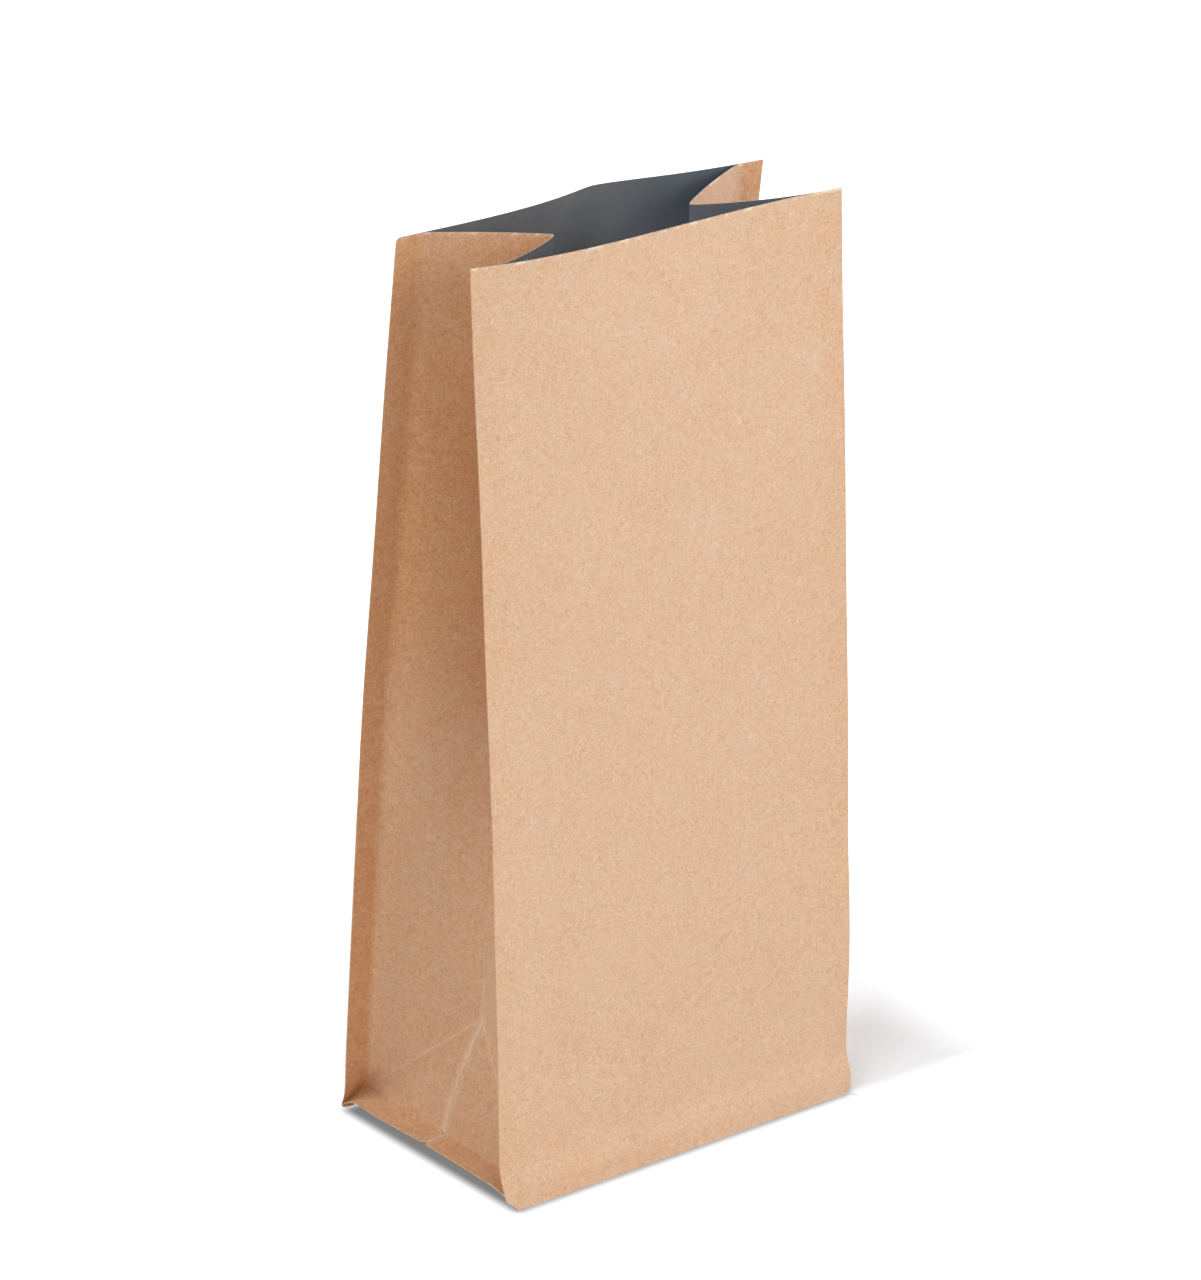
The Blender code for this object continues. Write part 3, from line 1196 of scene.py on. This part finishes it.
class MaterialDesk(NodeDesk):
    """Adds and links the nodes of one material."""

    def __init__(self, name: str) -> None:
        """Starts an empty material.

        Args:
            name: Name of the material.
        """
        self.material = bpy.data.materials.new(name)
        self.material.use_nodes = True
        super().__init__(self.material.node_tree)

    def place(self) -> Socket:
        """The point's own place on the object."""
        return self.add("ShaderNodeTexCoord").outputs["Object"]

    def mark(self, name: str) -> Socket:
        """A mark that is kept on the mesh's points."""
        return self.add("ShaderNodeAttribute", attribute_name=name).outputs["Fac"]

    def noise(self, place: Socket, noise: Noise) -> Socket:
        """Values of a noise pattern at the place."""
        return self.add("ShaderNodeTexNoise", place, **asdict(noise)).outputs["Fac"]

    def swing(self, noise: Socket, width: float) -> Socket:
        """Noise turned into a swing of the given width around zero."""
        return self.math("MULTIPLY", self.math("SUBTRACT", noise, 0.5), width)

    def weigh(self, values: tuple[Socket, ...], weights: tuple[float, ...]) -> Socket:
        """Total of the values, each times its weight."""
        return self.fold("ADD", *(self.math("MULTIPLY", *both) for both in zip(values, weights)))

    def close(self, shader: bpy.types.Node) -> bpy.types.Material:
        """Links the last shader to the output, and gives back the material."""
        self.add("ShaderNodeOutputMaterial", shader.outputs[0])
        return self.material

    def finish(
        self, colour: Socket, looks: dict[str, float], relief: tuple[Value, ...] = ()
    ) -> bpy.types.Material:
        """Closes the material with one shader.

        Args:
            colour: The shader's colour.
            looks: Fixed values of its other inputs, by name.
            relief: Height, strength and depth of a fine relief; empty for none.

        Returns:
            The material.
        """
        shader = self.add("ShaderNodeBsdfPrincipled", colour)
        for name, value in looks.items():
            shader.inputs[name].default_value = value
        if relief:
            height, strength, depth = relief
            bump = self.add("ShaderNodeBump", strength=strength, distance=depth)
            self.feed(bump.inputs["Height"], height)
            self.feed(shader.inputs["Normal"], bump.outputs["Normal"])
        return self.close(shader)


@dataclass(frozen=True)
class Blemish:
    """One small mark on the paper: a speck, or a hair where it is long."""

    place: Triple
    radius: float
    colour: Triple
    stretch: Triple = (1.0, 1.0, 1.0)
    turn: float = 0.0
    core: float = 0.6
    cover: float = 0.8

    def mask(self, desk: MaterialDesk, place: Socket) -> Socket:
        """Where the mark covers the paper, from 0 to its cover.

        Args:
            desk: The material's desk.
            place: The point's own place on the object.

        Returns:
            The share of the mark's colour.
        """
        mapping = desk.add(
            "ShaderNodeMapping",
            place,
            self.place,
            (0.0, self.turn, 0.0),
            self.stretch,
            vector_type="TEXTURE",
        )
        away = desk.add("ShaderNodeVectorMath", mapping.outputs[0], operation="LENGTH")
        away = away.outputs["Value"]
        near = desk.remap(away, self.radius * self.core, self.radius, 1.0, 0.0)
        return desk.math("MULTIPLY", near, self.cover)


BLEMISHES = (
    Blemish((0.0392, -0.0389, 0.0178), 0.00042, (0.10, 0.07, 0.05)),
    Blemish((-0.0335, -0.0330, 0.2692), 0.00028, (0.16, 0.09, 0.05), (3.4, 3.0, 1.0), 0.9),
    Blemish((-0.0574, 0.0002, 0.0064), 0.00050, (0.09, 0.05, 0.03)),
)


@dataclass(frozen=True)
class PaperFinish:
    """Uncoated brown paper with soft clouds, short fibres, rubbed creases and painted shade.

    A range says where a noise starts and ends, and what its two ends become. A line says
    how far a rubbed line is full, where it has faded, and how strong it is.
    """

    dark: Triple = (0.590, 0.320, 0.176)
    light: Triple = (0.725, 0.554, 0.405)
    # Tint of sealed bands; through the sealed mark it also paints the gussets' shade
    sealed: Triple = (0.966, 0.800, 0.600)
    ruddy: Triple = (1.008, 0.968, 0.936)
    rubbed: Triple = (0.860, 0.700, 0.560)
    torn: Triple = (0.880, 0.755, 0.620)
    dim: Triple = (0.600, 0.430, 0.350)
    fleck: Triple = (0.300, 0.170, 0.090)
    roughness: float = 0.72
    specular: float = 0.35
    sheen: float = 0.10
    sheen_roughness: float = 0.45
    bump_strength: float = 0.5
    bump_depth: float = 0.00016
    relief: Triple = (0.8, 0.5, 0.25)
    clouds: Noise = Noise(26.0)
    patches: Noise = Noise(110.0, 3.0, 0.6)
    fibres: Noise = Noise(230.0, 3.0, 0.65, 2.0)
    wanders: Noise = Noise(240.0)
    mottles: Noise = Noise(520.0, 3.0, 0.6, 1.4)
    rubs: Noise = Noise(900.0, roughness=0.7)
    tears: Noise = Noise(1300.0)
    grains: Noise = Noise(2300.0, 1.0)
    cloud_tone: float = 0.25
    mottle_tone: float = 1.15
    grain_tone: float = 1.25
    thread_tone: float = 0.16
    thread_width: float = 0.022
    middle_tone: float = 0.53
    seal_contrast: float = 0.5
    patch_range: Span = (0.35, 0.65)
    rub_range: tuple[float, ...] = (0.25, 0.75, 0.45, 1.0)
    rub_cover: float = 0.42
    tear_range: tuple[float, ...] = (0.3, 0.7, 0.0008, 0.0012)
    torn_full: float = 0.9
    torn_cover: float = 0.78
    wander: float = 0.0020
    strand_offset: float = 0.0019
    diagonal_offset: float = 0.0001
    centre_line: Triple = (0.0002, 0.0014, 1.35)
    strand_line: Triple = (0.0001, 0.0005, 0.65)
    diagonal_line: Triple = (0.0001, 0.0006, 0.62)
    fleck_scale: float = 95.0
    fleck_size: Span = (0.012, 0.035)
    fleck_pick: float = 0.93
    fleck_cover: float = 0.6

    def material(self) -> bpy.types.Material:
        """Builds the finish.

        Returns:
            The material.
        """
        desk = MaterialDesk("brown_paper")
        place = desk.place()
        mottle = desk.noise(place, self.mottles)
        grain = desk.noise(place, self.grains)
        fibre = desk.noise(place, self.fibres)
        thread = desk.math("ABSOLUTE", desk.math("SUBTRACT", fibre, 0.5))
        thread = desk.remap(thread, 0.0, self.thread_width, 1.0, 0.0, smooth=True)
        seal = desk.mark("seal")
        cloud = desk.noise(place, self.clouds)
        tone = self.tone(desk, seal, (cloud, mottle, grain, thread))
        colour = desk.mix(desk.remap(tone, 0.0, 1.0), self.dark, self.light)
        patch = desk.noise(place, self.patches)
        colour = desk.mix(desk.remap(patch, *self.patch_range), colour, self.ruddy, "MULTIPLY")
        # Sealed tint: sealed bands, and the gussets' painted shade
        colour = desk.mix(seal, colour, self.sealed, "MULTIPLY")
        colour = desk.mix(self.flecks(desk, place), colour, self.fleck)
        for blemish in BLEMISHES:
            colour = desk.mix(blemish.mask(desk, place), colour, blemish.colour)
        worn = desk.remap(desk.noise(place, self.rubs), *self.rub_range)
        rub = desk.math("MAXIMUM", desk.mark("crease"), self.crease_lines(desk, place))
        rub = desk.fold("MULTIPLY", rub, worn, self.rub_cover)
        colour = desk.mix(rub, colour, self.rubbed)
        colour = desk.mix(self.tear_share(desk, place), colour, self.torn)
        # Painted shade in folds, corners and deep in the gussets
        colour = desk.mix(desk.mark("dim"), colour, self.dim, "MULTIPLY")
        looks = {
            "Roughness": self.roughness,
            "Specular IOR Level": self.specular,
            "Sheen Weight": self.sheen,
            "Sheen Roughness": self.sheen_roughness,
        }
        height = desk.weigh((mottle, grain, thread), self.relief)
        return desk.finish(colour, looks, (height, self.bump_strength, self.bump_depth))

    def tone(self, desk: MaterialDesk, seal: Socket, patterns: tuple[Socket, ...]) -> Socket:
        """Tone from dark to light, from all the paper's patterns together.

        Args:
            desk: The material's desk.
            seal: The sealed mark, which on the gussets also carries painted shade.
            patterns: The clouds, the mottle, the grain and the threads.

        Returns:
            The tone, from 0 for dark to 1 for light.
        """
        *noises, thread = patterns
        widths = (self.cloud_tone, self.mottle_tone, self.grain_tone)
        tone = desk.fold("ADD", *(desk.swing(*both) for both in zip(noises, widths)))
        tone = desk.math("SUBTRACT", tone, desk.math("MULTIPLY", thread, self.thread_tone))
        contrast = desk.math("ADD", desk.math("MULTIPLY", seal, self.seal_contrast), 1.0)
        return desk.math("ADD", desk.math("MULTIPLY", tone, contrast), self.middle_tone)

    def tear_share(self, desk: MaterialDesk, place: Socket) -> Socket:
        """How far the mouth's torn fibres pale the paper.

        Args:
            desk: The material's desk.
            place: The point's own place on the object.

        Returns:
            The share of the torn colour.
        """
        reach = desk.remap(desk.noise(place, self.tears), *self.tear_range)
        torn = desk.math("SUBTRACT", 1.0, desk.math("DIVIDE", desk.mark("mouth_depth"), reach))
        return desk.remap(torn, 0.0, self.torn_full, 0.0, self.torn_cover)

    def crease_lines(self, desk: MaterialDesk, place: Socket) -> Socket:
        """Rubbed lines along the centre crease, its side strand, and the diagonals.

        Args:
            desk: The material's desk.
            place: The point's own place on the object.

        Returns:
            How strongly the paper is rubbed.
        """
        wander = desk.swing(desk.noise(place, self.wanders), self.wander)
        centre = desk.math("ADD", desk.mark("centre"), wander)
        strand = desk.math("SUBTRACT", centre, self.strand_offset)
        diagonal = desk.math("ADD", desk.mark("diagonal"), self.diagonal_offset)
        shares = (
            desk.remap(desk.math("ABSOLUTE", away), *line, 0.0)
            for away, line in (
                (centre, self.centre_line),
                (strand, self.strand_line),
                (diagonal, self.diagonal_line),
            )
        )
        return desk.fold("MAXIMUM", *shares)

    def flecks(self, desk: MaterialDesk, place: Socket) -> Socket:
        """Sparse dark flecks of bark, a few tenths of a millimetre across.

        Args:
            desk: The material's desk.
            place: The point's own place on the object.

        Returns:
            The share of the flecks' colour.
        """
        cells = desk.add("ShaderNodeTexVoronoi", place, scale=self.fleck_scale)
        spot = desk.remap(cells.outputs["Distance"], *self.fleck_size, 1.0, 0.0, smooth=True)
        pick = desk.add("ShaderNodeSeparateColor", cells.outputs["Color"])
        chosen = desk.math("GREATER_THAN", pick.outputs[0], self.fleck_pick)
        return desk.fold("MULTIPLY", spot, chosen, self.fleck_cover)


@dataclass(frozen=True)
class FilmFinish:
    """Dull dark film on the inside of the bag, bluish at the right, and paler in its depth as
    painted light.
    """

    dark: Triple = (0.152, 0.153, 0.158)
    light: Triple = (0.208, 0.209, 0.214)
    bluish: Triple = (0.152, 0.176, 0.208)
    # Painted light: the film is paler below the band at the mouth
    deep: Triple = (1.9, 1.9, 1.9)
    roughness: float = 0.40
    specular: float = 0.4
    clouds: Noise = Noise(60.0, 3.0, 0.6)
    grains: Noise = Noise(1800.0, 1.0)
    weights: Span = (0.7, 0.3)
    tone_range: Span = (0.3, 0.7)
    bluish_from: Span = (0.0, 0.05)
    deep_from: Span = (0.284, 0.250)
    bump_strength: float = 0.3
    bump_depth: float = 0.00008

    def material(self) -> bpy.types.Material:
        """Builds the finish.

        Returns:
            The material.
        """
        desk = MaterialDesk("dark_film")
        place = desk.place()
        cloud, grain = desk.noise(place, self.clouds), desk.noise(place, self.grains)
        tone = desk.weigh((cloud, grain), self.weights)
        colour = desk.mix(desk.remap(tone, *self.tone_range), self.dark, self.light)
        split = desk.add("ShaderNodeSeparateXYZ", place).outputs
        across = desk.remap(split["X"], *self.bluish_from, smooth=True)
        colour = desk.mix(across, colour, self.bluish)
        # Painted light in the depth of the bag
        depth = desk.remap(split["Z"], *self.deep_from, smooth=True)
        colour = desk.mix(depth, colour, self.deep, "MULTIPLY")
        looks = {"Roughness": self.roughness, "Specular IOR Level": self.specular}
        return desk.finish(colour, looks, (tone, self.bump_strength, self.bump_depth))


@dataclass(frozen=True)
class CutEdgeFinish:
    """Pale fibres of the paper where the laminate is cut."""

    dark: Triple = (0.74, 0.59, 0.45)
    light: Triple = (0.86, 0.74, 0.60)
    roughness: float = 0.85
    specular: float = 0.3
    grains: Noise = Noise(1500.0, roughness=0.7)
    grain_range: Span = (0.3, 0.7)

    def material(self) -> bpy.types.Material:
        """Builds the finish.

        Returns:
            The material.
        """
        desk = MaterialDesk("cut_edge")
        grain = desk.noise(desk.place(), self.grains)
        colour = desk.mix(desk.remap(grain, *self.grain_range), self.dark, self.light)
        looks = {"Roughness": self.roughness, "Specular IOR Level": self.specular}
        return desk.finish(colour, looks)


@dataclass(frozen=True)
class MouthFray:
    """Loose paper fibres that stand along the mouth's cut edge."""

    count: int = 24
    length: float = 0.0010
    thickness: float = 0.00006
    seed: int = 7
    shift: float = 0.002
    least_size: float = 0.12
    least_turn: Triple = (-0.9, -0.6, 0.0)
    most_turn: Triple = (0.9, 0.6, 6.28)
    bend: tuple[Triple, ...] = ((0.0, 0.0, -0.2), (0.05, 0.1, 0.5), (0.45, 0.0, 1.0))
    steps: int = 4
    sides: int = 5

    def tree(self, material: bpy.types.Material) -> bpy.types.GeometryNodeTree:
        """Builds the tree that sets fibres along an edge line.

        Args:
            material: The fibres' finish.

        Returns:
            The tree, with named inputs for its sizes.
        """
        tree = bpy.data.node_groups.new("mouth_fray", "GeometryNodeTree")
        desk = NodeDesk(tree)
        for name, end, kind in (
            ("Geometry", "INPUT", "Geometry"),
            ("Count", "INPUT", "Int"),
            ("Length", "INPUT", "Float"),
            ("Thickness", "INPUT", "Float"),
            ("Seed", "INPUT", "Int"),
            ("Geometry", "OUTPUT", "Geometry"),
        ):
            tree.interface.new_socket(name, in_out=end, socket_type=f"NodeSocket{kind}")
        given = desk.add("NodeGroupInput").outputs
        line = desk.add("GeometryNodeMeshToCurve", mesh=given["Geometry"]).outputs[0]
        line = desk.add("GeometryNodeResampleCurve", curve=line, count=given["Count"]).outputs[0]
        points = desk.add("GeometryNodeCurveToPoints", mode="EVALUATED", curve=line)
        points = desk.add(
            "GeometryNodeSetPosition",
            geometry=points.outputs["Points"],
            offset=self.random(desk, given["Seed"], (-self.shift, 0, 0), (self.shift, 0, 0), 1),
        )
        placed = desk.add(
            "GeometryNodeInstanceOnPoints",
            points=points.outputs[0],
            instance=self.fibre(desk, given["Length"], given["Thickness"]),
            rotation=self.random(desk, given["Seed"], self.least_turn, self.most_turn, 2),
            scale=self.random(desk, given["Seed"], (self.least_size,) * 3, (1.0,) * 3, 3),
        )
        whole = desk.add("GeometryNodeRealizeInstances", placed.outputs[0]).outputs[0]
        whole = desk.add("GeometryNodeSetMaterial", whole, material=material).outputs[0]
        desk.add("NodeGroupOutput", whole)
        return tree

    def fibre(self, desk: NodeDesk, length: Socket, thickness: Socket) -> Socket:
        """One bent fibre of the given length and thickness.

        Args:
            desk: The tree's desk.
            length: Length of the fibre.
            thickness: Radius of the fibre.

        Returns:
            The socket of the fibre.
        """
        line = desk.add("GeometryNodeCurveQuadraticBezier", self.steps, *self.bend)
        scale = desk.add("ShaderNodeCombineXYZ", length, length, length).outputs[0]
        line = desk.add("GeometryNodeTransform", geometry=line.outputs[0], scale=scale)
        kind = "GeometryNodeCurvePrimitiveCircle"
        ring = desk.add(kind, resolution=self.sides, radius=thickness)
        tube = desk.add(
            "GeometryNodeCurveToMesh",
            curve=line.outputs[0],
            profile_curve=ring.outputs[0],
            fill_caps=True,
        )
        return tube.outputs[0]

    def random(
        self, desk: NodeDesk, seed: Socket, low: Triple, high: Triple, step: int
    ) -> Socket:
        """Random vectors between two limits, from the tree's seed.

        Args:
            desk: The tree to add to.
            seed: The tree's seed.
            low: Least values.
            high: Greatest values.
            step: Added to the seed, so that each use draws its own.

        Returns:
            The socket of the vectors.
        """
        own = desk.math("ADD", seed, step)
        kind = "FunctionNodeRandomValue"
        return desk.add(kind, low, high, data_type="FLOAT_VECTOR", seed=own).outputs[0]

    def build(self, edge: Array, material: bpy.types.Material) -> bpy.types.Object:
        """Sets the fibres along an edge of the mouth.

        Args:
            edge: Points along the edge.
            material: The fibres' finish.

        Returns:
            The fibres as one plain object at the origin.
        """
        mesh = bpy.data.meshes.new("mouth_line")
        mesh.from_pydata(edge.tolist(), [(i, i + 1) for i in range(len(edge) - 1)], [])
        carrier = put("mouth_line", mesh)
        tree = self.tree(material)
        modifier = carrier.modifiers.new("mouth_fray", "NODES")
        modifier.node_group = tree
        values = {
            "Count": self.count,
            "Length": self.length,
            "Thickness": self.thickness,
            "Seed": self.seed,
        }
        for item in tree.interface.items_tree:
            if item.in_out == "INPUT" and item.name in values:
                modifier[item.identifier] = values[item.name]
        graph = bpy.context.evaluated_depsgraph_get()
        plain = bpy.data.meshes.new_from_object(carrier.evaluated_get(graph))
        plain.name = "mouth_fray"
        bpy.data.objects.remove(carrier)
        return put("mouth_fray", plain)


@dataclass(frozen=True)
class Softbox:
    """One square studio light that faces the bag."""

    name: str
    direction: Triple
    side: float
    watts: float
    distance: float = 2.2
    aim: Triple = (0.0, 0.0, 0.14)

    def build(self) -> None:
        """Adds the light to the scene."""
        data = bpy.data.lights.new(self.name, "AREA")
        data.shape = "SQUARE"
        data.size = self.side
        data.energy = self.watts
        away = Vector(self.direction).normalized()
        lamp = put(self.name, data)
        lamp.location = Vector(self.aim) + away * self.distance
        lamp.rotation_euler = (-away).to_track_quat("-Z", "Y").to_euler()


@dataclass(frozen=True)
class FloorShade:
    """Edges of the floor's shadow, partly real and partly painted, each from no plain white to all
    of it.
    """

    # Painted shadow under the bag: its faint glow sets how dark the floor is there
    glow: float = 0.175
    slant: float = 0.0514
    left: Span = (-0.0614, -0.0666)
    before: Span = (-0.0408, -0.0462)
    behind: Span = (0.0385, 0.0450)
    right: Span = (0.085, 0.190)
    right_before: Span = (-0.036, -0.062)
    right_behind: Span = (-0.034, 0.120)
    under_bag: Span = (0.066, 0.063)
    beside_bag: Span = (0.060, 0.063)

    def clear(self, desk: MaterialDesk, x: Socket, y: Socket) -> Socket:
        """Share of plain white that the floor shows away from the bag and its shadow.

        Args:
            desk: The material's desk.
            x: The point's place across the bag.
            y: The point's place along its depth.

        Returns:
            The share, from the glow under the bag up to 1.
        """
        under = desk.remap(x, *self.under_bag)
        ends = desk.math("MAXIMUM", desk.remap(y, *self.behind), desk.remap(y, *self.before))
        ends = desk.math("MULTIPLY", ends, under)
        out = desk.math("ADD", x, desk.math("MULTIPLY", y, self.slant))
        out = desk.remap(out, *self.left)
        rounded = desk.math("MULTIPLY", out, out)
        rounded = desk.math("ADD", rounded, desk.math("MULTIPLY", ends, ends))
        rounded = desk.math("POWER", rounded, 0.5)
        clear = desk.remap(rounded, 0.0, 1.0, self.glow, 1.0, smooth=True)
        beside = desk.remap(x, *self.beside_bag)
        sides = (
            desk.math("MULTIPLY", desk.remap(y, *edge), beside)
            for edge in (self.right_before, self.right_behind)
        )
        return desk.fold("MAXIMUM", clear, desk.remap(x, *self.right), *sides)


@dataclass(frozen=True)
class Studio:
    """Camera, floor, world and lights."""

    camera_place: Triple = (-0.7679, -1.0262, 0.6635)
    camera_aim: Triple = (0.00065, -0.00049, 0.15097)
    lens: float = 132.50
    sensor: float = 36.0
    view_reach: float = 50.0
    floor_reach: float = 6.0
    floor_white: float = 0.80
    beside_seen: Triple = (0.94, 0.97, 1.00)
    under_seen: Triple = (0.12, 0.13, 0.14)
    beside_from: Span = (0.0625, 0.0660)
    shade: FloorShade = FloorShade()
    horizon_light: float = 0.08
    zenith_light: float = 0.55
    softboxes: tuple[Softbox, ...] = (
        Softbox("key_softbox", (-0.02, -0.99, 0.28), 1.5, 16.4),
        Softbox("right_softbox", (0.87, -0.50, 0.22), 1.5, 27.5),
        Softbox("left_softbox", (-0.95, -0.45, 0.60), 1.2, 17.0),
        Softbox("rim_softbox", (-0.70, 0.75, 0.90), 0.9, 12.0),
    )

    def build(self) -> None:
        """Builds the whole studio."""
        self.add_camera()
        self.add_floor()
        self.add_world()
        for softbox in self.softboxes:
            softbox.build()
        bpy.context.scene.view_settings.view_transform = "Standard"

    def add_camera(self) -> None:
        """Adds the camera at the photograph's viewing angle."""
        data = bpy.data.cameras.new("photo_camera")
        data.lens = self.lens
        data.sensor_width = self.sensor
        data.clip_end = self.view_reach
        camera = put("photo_camera", data)
        camera.location = self.camera_place
        aim = Vector(self.camera_aim) - Vector(self.camera_place)
        camera.rotation_euler = aim.to_track_quat("-Z", "Y").to_euler()
        bpy.context.scene.camera = camera

    def add_floor(self) -> None:
        """Adds a plain pale floor with the bag's shadow, partly painted."""
        reach = self.floor_reach
        mesh = bpy.data.meshes.new("studio_floor")
        corners = [(-reach, -reach, 0), (reach, -reach, 0), (reach, reach, 0), (-reach, reach, 0)]
        mesh.from_pydata(corners, [], [(0, 1, 2, 3)])
        mesh.materials.append(self.floor_material())
        floor = put("studio_floor", mesh)

    def floor_material(self) -> bpy.types.Material:
        """White floor that keeps the real shade at the bag's right, with a painted shadow under the
        bag.

        Returns:
            The floor's material.
        """
        desk = MaterialDesk("white_floor")
        split = desk.add("ShaderNodeSeparateXYZ", desk.place()).outputs
        path = desk.add("ShaderNodeLightPath").outputs
        kinds = ("Camera", "Glossy", "Transmission")
        seen = desk.fold("MAXIMUM", *(path[f"Is {kind} Ray"] for kind in kinds))
        beside = desk.remap(split["X"], *self.beside_from)
        # Seen floor colour: dark under the bag, a painted shadow, and near white beside it
        shown = desk.mix(beside, self.under_seen, self.beside_seen)
        colour = desk.mix(seen, (self.floor_white,) * 3, shown)
        diffuse = desk.add("ShaderNodeBsdfDiffuse", colour)
        clear = self.shade.clear(desk, split["X"], split["Y"])
        white = desk.add("ShaderNodeEmission", strength=desk.math("MULTIPLY", clear, seen))
        return desk.close(desk.add("ShaderNodeAddShader", diffuse.outputs[0], white.outputs[0]))

    def add_world(self) -> None:
        """Adds the soft light from all round, seen as plain white."""
        world = bpy.data.worlds.new("studio_world")
        world.use_nodes = True
        desk = NodeDesk(world.node_tree)
        way = desk.add("ShaderNodeTexCoord").outputs["Generated"]
        up = desk.add("ShaderNodeSeparateXYZ", way).outputs["Z"]
        light = desk.remap(up, 0.0, 1.0, self.horizon_light, self.zenith_light)
        camera = desk.add("ShaderNodeLightPath").outputs["Is Camera Ray"]
        seen = desk.add("ShaderNodeMix", camera, data_type="FLOAT")
        for target, value in zip(seen.inputs[2:4], (light, 1.0)):
            desk.feed(target, value)
        background = desk.add("ShaderNodeBackground", strength=seen.outputs[0])
        desk.add("ShaderNodeOutputWorld", background.outputs[0])
        bpy.context.scene.world = world


def main() -> None:
    """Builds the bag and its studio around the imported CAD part."""
    logging.basicConfig(level=logging.INFO, format="%(message)s")
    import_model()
    Studio().build()
    materials = [PaperFinish().material(), FilmFinish().material(), CutEdgeFinish().material()]
    shell = BagShell()
    bag = shell.build(materials)
    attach(bag, BODY)
    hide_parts(CAD_NODE)
    log.info("bag shell built")
    fray = MouthFray().build(shell.front_mouth_line(), materials[Layer.CUT.value])
    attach(fray, BODY)
    log.info("mouth fray built: %d faces", len(fray.data.polygons))


if __name__ == "__main__":
    main()
